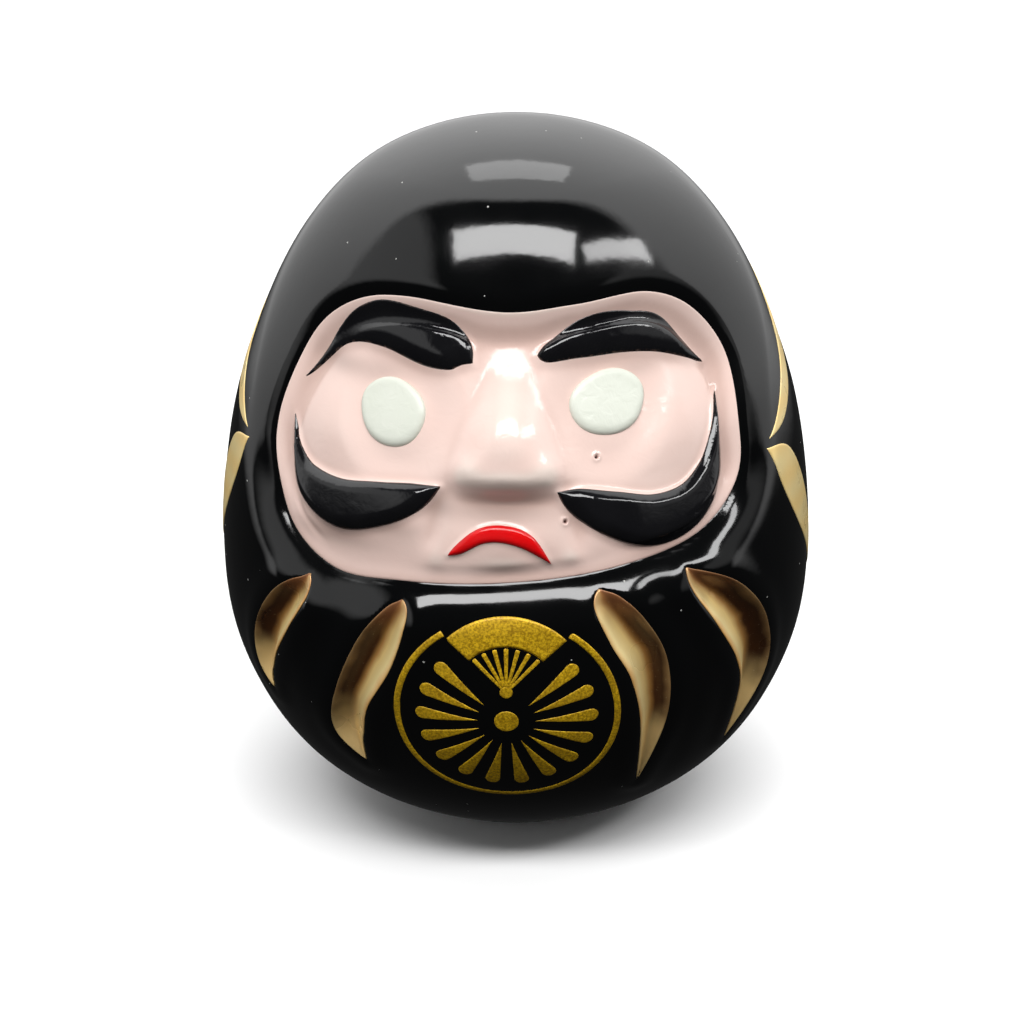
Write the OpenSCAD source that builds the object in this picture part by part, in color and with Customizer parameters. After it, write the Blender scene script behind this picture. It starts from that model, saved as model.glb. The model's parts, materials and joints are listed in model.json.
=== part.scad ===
// Daruma doll: a small hollow glazed ceramic ornament on a round foot, with a removable base stopper.
// Frame: origin at the centre of the foot, +Z up, the face looks along -Y, millimetres.

/* [Body] */
// Width of the body at its widest level
body_w = 60; // [58:0.5:62]
// Height of the widest level above the foot
belt_z = 26; // [25:0.5:26.5]
// Height of the dome above the widest level
dome_h = 44.8; // [44:0.2:46]
// Depth of the bowl below the widest level, if it ran on to its pole
bowl_h = 27.6; // [27.2:0.2:29]
// Thickness of the cast wall
wall = 3.2; // [2.8:0.2:3.6]

/* [Foot and stopper] */
// Depth of the recess inside the foot ring
foot_recess = 1.6; // [1.2:0.1:2]
// Radius of the recess inside the foot ring
foot_recess_r = 8.8; // [8:0.2:9.4]
// Height of the cavity's floor above the table
cavity_floor = 5; // [4.6:0.1:5.6]
// Radius of the drain hole through the base
drain_r = 5; // [4:0.1:5.5]
// Running gap round the stopper's shaft
stopper_gap = 0.06; // [0.03:0.01:0.1]
// Radius of the stopper's flange
flange_r = 7.4; // [6.5:0.1:7.6]

/* [Face] */
// Radius of the ball that the face panel lies on
face_r = 27.7; // [27.4:0.1:28]
// Height of that ball's centre
face_z = 35.6; // [35:0.2:36.2]
// Thickness of the face panel
panel_t = 1.75; // [1.6:0.05:1.9]
// Radius of the painted eyes
eye_r = 3.2; // [2.6:0.1:3.6]
// Depth of the eye sockets
socket_depth = 1.2; // [0.8:0.1:1.3]

/* [Painted ornament] */
// Thickness of the gold crest above the glaze
crest_t = 0.25; // [0.15:0.05:0.3]
// Radius of the crest's outer ring
crest_r = 10.95; // [10:0.05:11]
// Number of places for petals round the crest
petal_places = 18; // [18:1:20]
// Depth of the gold folds in the belly
fold_depth = 1.4; // [1:0.1:1.6]

/* [Hidden] */

body_r = body_w / 2;
dome_power = 2.24;
bowl_power = 2.14;
form_step = 6;
gap = 0.04;
reach = 44;
prism_start = 8;
form_fn = 96;
round_fn = 48;

enamel_t = 0.55;
socket_ball_r = 20;
socket_fn = 240;
eye_proud = 0.9;
nose_proud = 1.1;

eye_left_at = [-10.3, 47.8];
eye_right_at = [9.9, 49.2];

crest_az = 1.2;
crest_tilt = -11.8;
crest_line = 0.6;
petal_in = 2.7;
petal_out = 8.8;
petal_half_w = 0.58;
crest_dot_r = 1.15;
fan_pivot_y = 3.2;
fan_leaf_in = 4.6;
fan_leaf_out = 7.6;
fan_half_angle = 48;
fan_ribs = 7;
fan_rib_w = 0.42;
fan_pivot_r = 0.7;

// Half of the opening that frames the face, from the middle of the brow to the middle of the chin
face_half = [[0, 58], [9, 58.8], [17, 56.5], [21.5, 49], [22, 43], [19.5, 37], [12, 34.1], [0, 34]];

// Brush strokes on the face, each point [x, z, half of the stroke's width there]
brow_left_stroke = [
    [-20, 47.5, 0], [-17.5, 51.8, 0.6], [-12, 55.5, 1.9], [-8, 55, 2.2], [-5, 54.2, 1.8], [-3, 53.3, 0]
];
brow_right_stroke = [
    [3, 53.8, 0], [4.6, 54.2, 1.1], [8, 55.1, 1.5], [12.5, 55.1, 1.5], [16.3, 53.5, 0.9], [19, 50.7, 0]
];
moustache_left_stroke = [
    [-20.3, 46, 0], [-19.5, 42.2, 0.7], [-17.6, 39.4, 1.9], [-14, 39.1, 2.5], [-9.5, 40.5, 1.7], [-5.6, 42.3, 0]
];
moustache_right_stroke = [
    [19.8, 48.2, 0], [19.6, 44, 0.7], [18.4, 40.2, 1.7], [15, 38.2, 2.5], [10, 39.3, 2.2], [5.3, 41.9, 0]
];
lip_stroke = [[-5, 35.8, 0], [-3.2, 37.1, 0.7], [0, 38.1, 0.8], [3, 37.1, 0.7], [5, 35.4, 0]];

// Gold folds and strokes on the body, each point [azimuth, z, half of the stroke's width there]
fold_inner_left = [
    [-20, 31.5, 0], [-20.5, 29.8, 1.3], [-24, 25.5, 2.2], [-29, 20, 2.1], [-30.5, 15.5, 1.8], [-31, 11, 0]
];
fold_inner_right = [
    [16, 33, 0], [20, 31, 1.3], [25, 26, 1.9], [29, 21, 1.9], [31.5, 16, 1.5], [33, 8.5, 0]
];
fold_outer_left = [
    [-41, 32, 0], [-42, 29.8, 1.4], [-47.5, 26, 2.1], [-53, 22, 2.1], [-56, 18.5, 1.4], [-56, 15.5, 0]
];
fold_outer_right = [
    [36, 34, 0], [41, 31.3, 1.2], [48, 27.7, 1.8], [54.3, 23, 2.1], [59, 17.5, 2], [62, 10, 0]
];
side_upper = [[64, 43, 0], [71.5, 45.7, 1.2], [81, 50.5, 1.3], [92, 58, 0]];
side_lower = [[62, 42, 0], [70.5, 39, 1.9], [80, 33.2, 2], [90, 26, 0]];

// ---- Curves ----

// A point of a smooth curve between b and c, whose neighbours are a and d
function bend(a, b, c, d, t) =
    0.5 * (2 * b + (c - a) * t + (2 * a - 5 * b + 4 * c - d) * t * t + (3 * b - a - 3 * c + d) * t * t * t);

// A smooth open curve through the points of p
function open_curve(p, n = 4) = let (last = len(p) - 1) concat(
    [for (i = [0 : last - 1], k = [0 : n - 1])
        bend(p[max(i - 1, 0)], p[i], p[i + 1], p[min(i + 2, last)], k / n)],
    [p[last]]
);

// A smooth closed curve through the points of p
function closed_curve(p, n = 5) = let (m = len(p)) [
    for (i = [0 : m - 1], k = [0 : n - 1])
        bend(p[(i + m - 1) % m], p[i], p[(i + 1) % m], p[(i + 2) % m], k / n)
];

// The outline of a brush stroke, whose points are [x, y, half of the width there]
function brushed(stroke) = let (
    line = open_curve(stroke),
    last = len(line) - 1,
    side = [for (i = [0 : last]) let (
        run = line[min(i + 1, last)] - line[max(i - 1, 0)]
    ) line[i][2] * unit([-run[1], run[0]])],
    spine = [for (p = line) [p[0], p[1]]]
) concat(
    [for (i = [0 : last]) spine[i] + side[i]],
    [for (i = [last - 1 : -1 : 1]) spine[i] - side[i]]
);

function middle(p) = [for (i = [0, 1]) (min([for (q = p) q[i]]) + max([for (q = p) q[i]])) / 2];

// An outline drawn in towards its middle by the given factor
function drawn_in(p, k) = let (c = middle(p)) [for (q = p) c + (q - c) * k];

function unit(v) = v / norm(v);

// 1 where an outline runs anticlockwise, -1 where it runs clockwise
function turn_sense(p) = let (m = len(p)) sign([
    for (i = [0 : m - 1]) p[i][0] * p[(i + 1) % m][1] - p[(i + 1) % m][0] * p[i][1]
] * [for (i = [0 : m - 1]) 1]);

// An outline with every point moved in by d, square to the outline there
function inset(p, d) = let (m = len(p), s = turn_sense(p)) [
    for (i = [0 : m - 1]) let (
        along = unit(unit(p[i] - p[(i + m - 1) % m]) + unit(p[(i + 1) % m] - p[i]))
    ) p[i] + s * d * [-along[1], along[0]]
];

// ---- The body's form ----

// Radius of the body at height z
function form_r(z) = z >= belt_z
    ? body_r * pow(1 - pow((z - belt_z) / dome_h, dome_power), 1 / dome_power)
    : body_r * pow(1 - pow((belt_z - z) / bowl_h, bowl_power), 1 / bowl_power);

// Half section of the body grown by g and cut level at height z0
function form_section(g, z0) = let (
    bowl_end = asin(pow((belt_z - z0) / (bowl_h + g), bowl_power / 2)),
    bowl_exp = 2 / bowl_power,
    dome_exp = 2 / dome_power
) concat(
    [[0, z0], [(body_r + g) * pow(cos(bowl_end), bowl_exp), z0]],
    [for (t = [floor((bowl_end - 1) / form_step) * form_step : -form_step : form_step])
        [(body_r + g) * pow(cos(t), bowl_exp), belt_z - (bowl_h + g) * pow(sin(t), bowl_exp)]],
    [for (t = [0 : form_step : 90 - form_step])
        [(body_r + g) * pow(cos(t), dome_exp), belt_z + (dome_h + g) * pow(sin(t), dome_exp)]],
    [[0, belt_z + dome_h + g]]
);

// The solid body grown by g and cut level at height z0
module form(g = 0, z0 = 0) {
    rotate_extrude($fn = form_fn) polygon(form_section(g, z0));
}

// Puts its children's +Z outwards at an azimuth and a tilt from a centre at height z
module outwards(az = 0, tilt = 0, z = 0) {
    translate([0, 0, z]) rotate([0, 0, az]) rotate([90 - tilt, 0, 0]) children();
}

// A straight prism that leaves the axis towards azimuth az
module prism(points, az = 0) {
    outwards(az) translate([0, 0, prism_start]) linear_extrude(reach - prism_start) polygon(points);
}

// ---- Face ----

function mirrored(p) = [for (i = [len(p) - 2 : -1 : 1]) [-p[i][0], p[i][1]]];

// The face opening's outline, scaled about its middle
function face_outline(k = 1) = drawn_in(closed_curve(concat(face_half, mirrored(face_half))), k);

module face_ball(r) {
    translate([0, 0, face_z]) sphere(r = r, $fn = form_fn);
}

// Tilt and azimuth of the face point in front of [x, z]
function face_tilt(p) = asin((p[1] - face_z) / face_r);
function face_az(p) = asin(p[0] / (face_r * cos(face_tilt(p))));

module at_face(p) {
    outwards(face_az(p), face_tilt(p), face_z) children();
}

module socket_ball(p, shrink = 0) {
    at_face(p) translate([0, 0, face_r - socket_depth + socket_ball_r])
        sphere(r = socket_ball_r - shrink, $fn = socket_fn);
}

module face_pocket() {
    difference() {
        prism(face_outline());
        face_ball(face_r - panel_t);
    }
}

// Extra wall behind the face, so that the casting keeps its thickness there
module face_backing() {
    difference() {
        prism(face_outline(1.13));
        face_ball(face_r - panel_t - wall);
    }
}

// A stroke of enamel that lies on the face panel
module face_stroke(stroke) {
    intersection() {
        prism(brushed(stroke));
        difference() {
            face_ball(face_r + gap + enamel_t);
            face_ball(face_r + gap);
        }
    }
}

// ---- Ornament on the body ----

// A stroke whose points start with [azimuth, z], seen square on from azimuth az
function turned(stroke, az) = [for (p = stroke) [form_r(p[1]) * sin(p[0] - az), p[1], p[2]]];

function mirrored_stroke(stroke) = [for (p = stroke) [-p[0], p[1], p[2]]];

module fold_prism(stroke, in = 0) {
    az = middle(stroke)[0];
    prism(inset(brushed(turned(stroke, az)), in), az);
}

module fold_pocket(stroke) {
    difference() {
        fold_prism(stroke);
        form(-fold_depth);
    }
}

// The gold lining on the floor of a fold
module fold_gold(stroke) {
    intersection() {
        fold_prism(stroke, 2 * gap);
        difference() {
            form(-fold_depth + 2 * gap + enamel_t);
            form(-fold_depth + 2 * gap);
        }
    }
}

// The thin layer just outside the glaze
module skin() {
    difference() {
        form(gap + crest_t);
        form(gap);
    }
}

module side_stroke(stroke) {
    intersection() {
        fold_prism(stroke);
        skin();
    }
}

module on_crest() {
    intersection() {
        outwards(crest_az, crest_tilt, belt_z) translate([0, 0, prism_start])
            linear_extrude(reach - prism_start) children();
        skin();
    }
}

function petal_outline() = concat(
    [[petal_in, 0]],
    [for (a = [-96 : 24 : 96])
        [petal_out - petal_half_w + petal_half_w * cos(a), petal_half_w * sin(a)]]
);

// An arc with a point about every 6 degrees
function arc(r, from, to) = let (n = ceil(abs(to - from) / 6)) [
    for (i = [0 : n]) let (a = from + (to - from) * i / n) r * [cos(a), sin(a)]
];

function sector(r_in, r_out, from, to) = concat(arc(r_out, from, to), arc(r_in, to, from));

// ---- Nodes ----

module body_shell() {
    color([0.03, 0.03, 0.035]) difference() {
        form();
        difference() {
            form(-wall, cavity_floor);
            face_backing();
        }
        translate([0, 0, -1]) cylinder(h = 1 + foot_recess, r = foot_recess_r, $fn = form_fn);
        translate([0, 0, -1]) cylinder(h = 2 + cavity_floor, r = drain_r, $fn = form_fn);
        face_pocket();
        fold_pocket(fold_inner_left);
        fold_pocket(fold_inner_right);
        fold_pocket(fold_outer_left);
        fold_pocket(fold_outer_right);
    }
}

module nose() {
    hull() {
        at_face([0, 54]) translate([0, 0, face_r - 1.6]) sphere(r = 1.8, $fn = 32);
        at_face([0, 45]) translate([0, 0, face_r - 2.6 + nose_proud]) sphere(r = 2.6, $fn = 32);
        at_face([3.2, 43.8]) translate([0, 0, face_r - 1.9 + nose_proud / 2]) sphere(r = 1.9, $fn = 32);
        at_face([-3.2, 43.8]) translate([0, 0, face_r - 1.9 + nose_proud / 2]) sphere(r = 1.9, $fn = 32);
    }
}

module face_enamel() {
    color([0.93, 0.8, 0.77]) difference() {
        union() {
            intersection() {
                prism(face_outline(0.998));
                face_ball(face_r);
            }
            nose();
        }
        face_ball(face_r - panel_t + gap);
        socket_ball(eye_left_at);
        socket_ball(eye_right_at);
    }
}

// A round dot of thick white enamel on a socket's floor
module eye(p) {
    color([0.92, 0.95, 0.89]) intersection() {
        at_face(p) translate([0, 0, face_r - 2 * socket_depth])
            cylinder(h = socket_depth + eye_proud, r = eye_r, $fn = round_fn);
        socket_ball(p, gap);
    }
}

module eye_left() {
    eye(eye_left_at);
}

module eye_right() {
    eye(eye_right_at);
}

module brow_left() {
    color([0.05, 0.05, 0.06]) face_stroke(brow_left_stroke);
}

module brow_right() {
    color([0.05, 0.05, 0.06]) face_stroke(brow_right_stroke);
}

module moustache_left() {
    color([0.05, 0.05, 0.06]) face_stroke(moustache_left_stroke);
}

module moustache_right() {
    color([0.05, 0.05, 0.06]) face_stroke(moustache_right_stroke);
}

module lip_red() {
    color([0.8, 0.02, 0.02]) face_stroke(lip_stroke);
}

module fold_gold_inner_left() {
    color([0.8, 0.62, 0.36]) fold_gold(fold_inner_left);
}

module fold_gold_inner_right() {
    color([0.8, 0.62, 0.36]) fold_gold(fold_inner_right);
}

module fold_gold_outer_left() {
    color([0.8, 0.62, 0.36]) fold_gold(fold_outer_left);
}

module fold_gold_outer_right() {
    color([0.8, 0.62, 0.36]) fold_gold(fold_outer_right);
}

module side_stroke_upper_left() {
    color([0.78, 0.62, 0.4]) side_stroke(mirrored_stroke(side_upper));
}

module side_stroke_upper_right() {
    color([0.78, 0.62, 0.4]) side_stroke(side_upper);
}

module side_stroke_lower_left() {
    color([0.78, 0.62, 0.4]) side_stroke(mirrored_stroke(side_lower));
}

module side_stroke_lower_right() {
    color([0.78, 0.62, 0.4]) side_stroke(side_lower);
}

// The ring stops short of the fan on both sides
module crest_ring() {
    color([0.76, 0.6, 0.14]) on_crest()
        polygon(sector(crest_r - crest_line, crest_r, 90 + 34, 450 - 34));
}

// A rosette of petals, left out where the fan spreads
module crest_petals() {
    pitch = 360 / petal_places;
    color([0.76, 0.6, 0.14]) on_crest()
        for (i = [0 : petal_places - 1])
            if (abs((i * pitch + 90) % 360 - 180) > 35)
                rotate([0, 0, i * pitch]) polygon(petal_outline());
}

module crest_centre() {
    color([0.76, 0.6, 0.14]) on_crest() circle(r = crest_dot_r, $fn = round_fn);
}

// An open folding fan: a leaf, its ribs and the rivet that they turn on
module crest_fan() {
    rib_pitch = 2 * (fan_half_angle - 4) / (fan_ribs - 1);
    color([0.76, 0.6, 0.14]) on_crest() translate([0, fan_pivot_y]) {
        polygon(sector(fan_leaf_in, fan_leaf_out, 90 - fan_half_angle, 90 + fan_half_angle));
        circle(r = fan_pivot_r, $fn = round_fn);
        for (i = [0 : fan_ribs - 1])
            rotate([0, 0, 90 - fan_half_angle + 4 + i * rib_pitch])
                translate([0, -fan_rib_w / 2]) square([fan_leaf_in + 0.3, fan_rib_w]);
    }
}

// A soft stopper: a flange in the foot's recess and a shaft in the drain hole
module base_plug() {
    flange_low = 0.4;
    flange_t = foot_recess - 0.05 - flange_low;
    shaft_h = cavity_floor + 1 - flange_low;
    color([0.82, 0.8, 0.76]) translate([0, 0, flange_low]) difference() {
        union() {
            cylinder(h = flange_t, r = flange_r, $fn = form_fn);
            cylinder(h = shaft_h, r = drain_r - stopper_gap, $fn = form_fn);
        }
        translate([0, 0, -1]) cylinder(h = 1.5, r = drain_r / 2, $fn = form_fn);
    }
}

body_shell();
face_enamel();
eye_left();
eye_right();
brow_left();
brow_right();
moustache_left();
moustache_right();
lip_red();
fold_gold_inner_left();
fold_gold_inner_right();
fold_gold_outer_left();
fold_gold_outer_right();
side_stroke_upper_left();
side_stroke_upper_right();
side_stroke_lower_left();
side_stroke_lower_right();
crest_ring();
crest_petals();
crest_centre();
crest_fan();
base_plug();
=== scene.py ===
import json
import math

import bpy
import numpy as np
from mathutils import Matrix, Quaternion, Vector
from mathutils.geometry import delaunay_2d_cdt

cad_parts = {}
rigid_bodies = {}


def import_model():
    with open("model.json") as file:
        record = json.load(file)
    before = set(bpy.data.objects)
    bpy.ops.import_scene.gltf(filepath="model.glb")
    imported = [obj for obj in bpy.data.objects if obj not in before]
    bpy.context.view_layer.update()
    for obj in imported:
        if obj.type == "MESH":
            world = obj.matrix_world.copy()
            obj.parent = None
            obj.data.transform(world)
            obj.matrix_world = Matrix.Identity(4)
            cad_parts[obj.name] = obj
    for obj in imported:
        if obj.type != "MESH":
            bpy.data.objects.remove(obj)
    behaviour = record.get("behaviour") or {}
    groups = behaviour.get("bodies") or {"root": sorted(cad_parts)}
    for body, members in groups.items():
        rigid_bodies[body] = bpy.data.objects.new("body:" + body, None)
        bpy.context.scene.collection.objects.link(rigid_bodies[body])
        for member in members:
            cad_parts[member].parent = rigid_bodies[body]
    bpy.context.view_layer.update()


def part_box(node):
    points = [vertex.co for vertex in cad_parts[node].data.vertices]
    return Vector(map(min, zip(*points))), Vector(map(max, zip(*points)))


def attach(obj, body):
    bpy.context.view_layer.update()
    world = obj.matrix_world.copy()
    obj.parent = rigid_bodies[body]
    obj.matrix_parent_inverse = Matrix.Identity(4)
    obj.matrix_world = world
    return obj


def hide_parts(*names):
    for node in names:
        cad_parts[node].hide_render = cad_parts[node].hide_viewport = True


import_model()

# A glazed ceramic daruma doll. Shapes are worked out in millimetres on a chart of the casting:
# u runs round the body along its parallels, v runs up its meridians, both from the middle of the
# front at the widest level. Meshes are made in metres.
MM = 0.001
shell_low, shell_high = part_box("body_shell")
plug_low, plug_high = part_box("base_plug")

# ---- Driving dimensions of the casting ----

BODY_R = (shell_high[0] - shell_low[0]) / 2 / MM
BELT_Z = 26.0
DOME_H = shell_high[2] / MM - BELT_Z
BOWL_H = 27.6
DOME_POWER = 2.24
BOWL_POWER = 2.14
CHART_R = 30
CHART_STRETCH = 4
WALL = 3.2
FOOT_RECESS = 1.6
FOOT_RECESS_R = 8.8
DRAIN_R = 5.0
CAVITY_FLOOR = 5.0

# ---- Thickness of what is painted on it ----

PINK_T = 0.12
BLACK_T = 0.2
RED_T = 0.16
EYE_T = 0.42
GOLD_T = 0.07
TRANSFER_T = 0.05
UNDER_PAINT = 0.1
PAINT_ROOT = 0.3
EDGE_ROWS = (0.12, 0.35, 0.7, 1.1)

# ---- Outlines on the chart ----

FACE_RIM = [
    (0, 33.6), (-10, 34.3), (-17, 33), (-23.2, 29.3), (-27, 23), (-28, 17), (-25.5, 10.5), (-18.5, 6.8),
    (-10, 7), (0, 7.6), (12, 8.7), (22, 10.7), (27.3, 14.7), (27.8, 20.5), (27, 27), (22, 31.8),
    (15, 34.4), (7, 34.1),
]
# Brush strokes and folds: each point is (u, v, half of the width there)
BROW_LEFT = [
    (-25.5, 24.5, 0), (-20, 30, 0.6), (-14, 32, 1.6), (-8, 31.5, 2.2), (-4.8, 30.9, 1.8), (-3.3, 29.9, 0),
]
BROW_RIGHT = [
    (3.4, 30.8, 0), (4.5, 30.9, 0.9), (8, 31.9, 1.5), (13, 32.1, 1.6), (18, 31, 1.4), (24.7, 27.4, 0),
]
MOUSTACHE_LEFT = [
    (-26.3, 21, 0), (-25.2, 17.8, 0.8), (-22.6, 15, 2), (-18, 13.8, 2.6), (-13, 14.7, 2.3),
    (-9, 16, 1.5), (-6.2, 17.4, 0),
]
MOUSTACHE_RIGHT = [
    (25.9, 24.3, 0), (24.9, 20.2, 0.8), (23.6, 16.4, 1.9), (20.5, 13.7, 2.5), (16, 13, 2.7),
    (11.3, 14.4, 2.3), (7.5, 16.1, 1.3), (5.6, 17, 0),
]
LIP = [(-5.3, 10.3, 0), (-4.2, 11, 0.5), (-2, 12.5, 0.8), (0.2, 12.8, 0.9), (2.6, 12, 0.8), (5.1, 9.6, 0)]
FOLDS = {
    "inner_left": [(-9.6, 5.4, 0), (-10, 3.9, 1.2), (-12.3, -0.6, 2.1), (-15, -6, 1.9), (-15.7, -10.5, 1.8),
                   (-14, -14.4, 0)],
    "inner_right": [(9.6, 6.9, 0), (10.1, 5.5, 1.3), (12.2, 2.3, 2), (14.5, -2, 2), (15.1, -8, 1.4),
                    (13.5, -17, 0)],
    "outer_left": [(-20.6, 5.8, 0), (-21.3, 4, 1.3), (-24.3, 0.8, 2), (-27, -3, 2.1), (-27.8, -6.4, 1.6),
                   (-26.8, -9.2, 0)],
    "outer_right": [(18.8, 7.6, 0), (20, 5.9, 1.2), (24, 2.4, 2.4), (27.6, -2.2, 2.8), (28.4, -7, 2.3),
                    (25.2, -14.7, 0)],
}
# Strokes on the doll's left side, which is the +u side; the other side mirrors them
STROKES = {
    "upper": [(31.4, 16.9, 0), (35.6, 19, 1.1), (40, 23.2, 1.4), (42, 31, 0)],
    "lower": [(31, 16.2, 0), (35, 13.2, 2), (40.2, 7.2, 2.1), (46, -1, 0)],
}
EYE_LEFT = (-12.5, 24.5)
EYE_RIGHT = (11.5, 26)
EYE_LEFT_RADII = (4, 3.6)
EYE_RIGHT_RADII = (4.4, 3.4)
SOCKETS = [(-11.3, 24), (11.2, 24.8)]
# Painted shade on the pink enamel, under the nose, the brows, the moustaches and the lip: (u, v), reach
# along u and v, and how dark
PAINTED_SHADE_SPOTS = [
    ((0, 15.2), 5.5, 1.5, 0.6), ((-18.5, 10.4), 6, 1.2, 0.6), ((-11.5, 12.4), 3.5, 1.1, 0.5),
    ((-20, 28), 3.5, 1.2, 0.45), ((-14, 28.3), 3.5, 1.2, 0.25), ((16, 29), 5, 1, 0.25),
    ((0.3, 10.6), 2.4, 0.8, 0.3), ((18, 9.6), 5, 0.9, 0.3), ((-6.5, 15.6), 1.5, 1.5, 0.4),
]
PINHOLES = [(6.5, 14), (10, 20.5)]

# The crest: its middle, its ring, and the fan that stands in the ring's gap (angles in degrees)
CREST = (0.65, -6.2)
CREST_R = 10.95
CREST_LINE = 0.62
RING_GAP_HALF = 34
PETALS = 18
PETAL_ROOT = 2.7
PETAL_REACH = 8.7
PETAL_TIP_R = 0.7
PETAL_GAP_HALF = 35
FAN_PIVOT = 3.2
FAN_HALF = 48.0
LEAF_R = (4.6, 7.6)
RIBS = 7
RIB_MARGIN = 5


# ---- Small helpers ----

def ease(x):
    x = np.clip(x, 0, 1)
    return x * x * (3 - 2 * x)


def bump(u, v, centre, size_u, size_v):
    return np.exp(-((u - centre[0]) / size_u) ** 2 - ((v - centre[1]) / size_v) ** 2)


def bend(a, b, c, d, t):
    return 0.5 * (2 * b + (c - a) * t + (2 * a - 5 * b + 4 * c - d) * t**2 + (3 * b - a - 3 * c + d) * t**3)


def open_curve(points, steps=10):
    p = np.array(points, float)
    p = np.vstack([p[:1], p, p[-1:]])
    t = np.arange(steps)[:, None] / steps
    runs = [bend(*p[i:i + 4], t) for i in range(len(p) - 3)]
    return np.vstack([*runs, p[-1:]])


def closed_curve(points, steps=10):
    p = np.array(points, float)
    t = np.arange(steps)[:, None] / steps
    n = len(p)
    return np.vstack([bend(p[i - 1], p[i], p[(i + 1) % n], p[(i + 2) % n], t) for i in range(n)])


def stroke_sides(stroke):
    """Both long edges of a brush stroke, whose points are (u, v, half of the width there)."""
    line = open_curve(stroke)
    run = np.gradient(line[:, :2], axis=0)
    across = np.stack([-run[:, 1], run[:, 0]], -1) / np.hypot(*run.T)[:, None]
    return line[:, :2] + across * line[:, 2:], line[:, :2] - across * line[:, 2:]


def brushed(stroke):
    a, b = stroke_sides(stroke)
    return np.vstack([a, b[-2:0:-1]])


def area(loop):
    x, y = loop.T
    return 0.5 * np.sum(x * np.roll(y, -1) - y * np.roll(x, -1))


def counter_clockwise(loop):
    return loop if area(loop) > 0 else loop[::-1]


def distance(u, v, line, closed=True, block=6000):
    """Distance from chart points to a line, and whether they lie inside it where it is closed."""
    a = line if closed else line[:-1]
    b = np.roll(line, -1, axis=0) if closed else line[1:]
    step = b - a
    length2 = np.maximum((step**2).sum(1), 1e-12)
    out, inside = np.empty(len(u)), np.zeros(len(u), bool)
    for i in range(0, len(u), block):
        pu, pv = u[i:i + block, None], v[i:i + block, None]
        t = np.clip(((pu - a[:, 0]) * step[:, 0] + (pv - a[:, 1]) * step[:, 1]) / length2, 0, 1)
        d2 = (pu - a[:, 0] - t * step[:, 0]) ** 2 + (pv - a[:, 1] - t * step[:, 1]) ** 2
        out[i:i + block] = np.sqrt(d2.min(1))
        if closed:
            crosses = (a[:, 1] > pv) != (b[:, 1] > pv)
            rise = np.where(step[:, 1] == 0, 1e-12, step[:, 1])
            left = pu < a[:, 0] + (pv - a[:, 1]) * step[:, 0] / rise
            inside[i:i + block] = (crosses & left).sum(1) % 2 == 1
    return out, inside


def inside_by(u, v, loop, margin):
    """Signed distance to a loop, positive inside and never under -margin."""
    d = np.full(len(u), -margin)
    low, high = loop.min(0) - margin, loop.max(0) + margin
    near = (u > low[0]) & (u < high[0]) & (v > low[1]) & (v < high[1])
    far, within = distance(u[near], v[near], loop)
    d[near] = np.maximum(np.where(within, far, -far), -margin)
    return d


# ---- The casting's form ----

def form_radius(e):
    """Distance of the plain form from the middle of the belt, at elevation e."""
    power = np.where(e >= 0, DOME_POWER, BOWL_POWER)
    height = np.where(e >= 0, DOME_H, BOWL_H)
    side = (np.abs(np.cos(e)) / BODY_R) ** power + (np.abs(np.sin(e)) / height) ** power
    return side ** (-1 / power)


def elevation(v):
    """Elevation at chart height v; over the belt the chart stretches a little towards the crown."""
    root = np.sqrt(CHART_R**2 + 4 * CHART_STRETCH * np.maximum(v, 0))
    return np.where(v > 0, (root - CHART_R) / (2 * CHART_STRETCH), v / CHART_R)


def chart_v(e):
    return CHART_R * e + CHART_STRETCH * np.maximum(e, 0) ** 2


def parallel(v):
    """Radius of the plain form's parallel at chart height v."""
    e = elevation(np.array(v))
    return form_radius(e) * np.cos(e)


def place(u, v, lift):
    """Chart point and height above the plain form, as x, y, z in metres."""
    e = elevation(v)
    r = form_radius(e)
    a = u / np.maximum(r * np.cos(e), 1e-6)
    r = r + lift
    xyz = [r * np.cos(e) * np.sin(a), -r * np.cos(e) * np.cos(a), BELT_Z + r * np.sin(e)]
    return np.stack(xyz, -1) * MM


face_rim = closed_curve(FACE_RIM)
pads = [brushed(e) for e in (BROW_LEFT, BROW_RIGHT, MOUSTACHE_LEFT, MOUSTACHE_RIGHT)]
lip_loop = brushed(LIP)


def rim_profile(u, v, d):
    """The hood and the collar roll in towards the face, then the recess falls to the face's floor."""
    top = ease((v - 20) / 12)
    low = ease((18 - v) / 7)
    roll_w = 5 + 4.2 * top
    drop = 1.1 + 0.5 * top + 0.99 * low
    x = np.clip(1 + d / roll_w, 0, 1)
    bend_r = 0.3
    slope = (np.sqrt(x * x + bend_r * bend_r) - bend_r) / (math.sqrt(1 + bend_r * bend_r) - bend_r)
    roll = slope * (1 - low) + x * x * low
    floor_depth = 3.0 + 1.5 * top - 0.7 * low
    lip_r = 0.9
    wall_w = 1.9
    fall = ease((d + lip_r) / (lip_r + wall_w))
    return -drop * roll - (floor_depth - drop) * fall


def nose(u, v):
    """A ridge that widens downwards from the brow, with a wing on each side of its tip."""
    mid = 0.5
    half = 3.0 + 3.4 * ease((30.5 - v) / 11)
    height = 0.35 + 2.0 * ease((31 - v) / 11)
    across = np.clip(np.abs(u - mid) / half, 0, 1)
    ridge = (1 - across**2) ** 2
    under = ease((v - 15.7) / 2.4)
    bridge = ease((33 - v) / 4)
    wings = 0.75 * (bump(u, v, (mid - 4.1, 18.6), 1.9, 1.7) + bump(u, v, (mid + 4.1, 18.6), 1.9, 1.7))
    return (height * ridge + wings) * under * bridge


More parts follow.
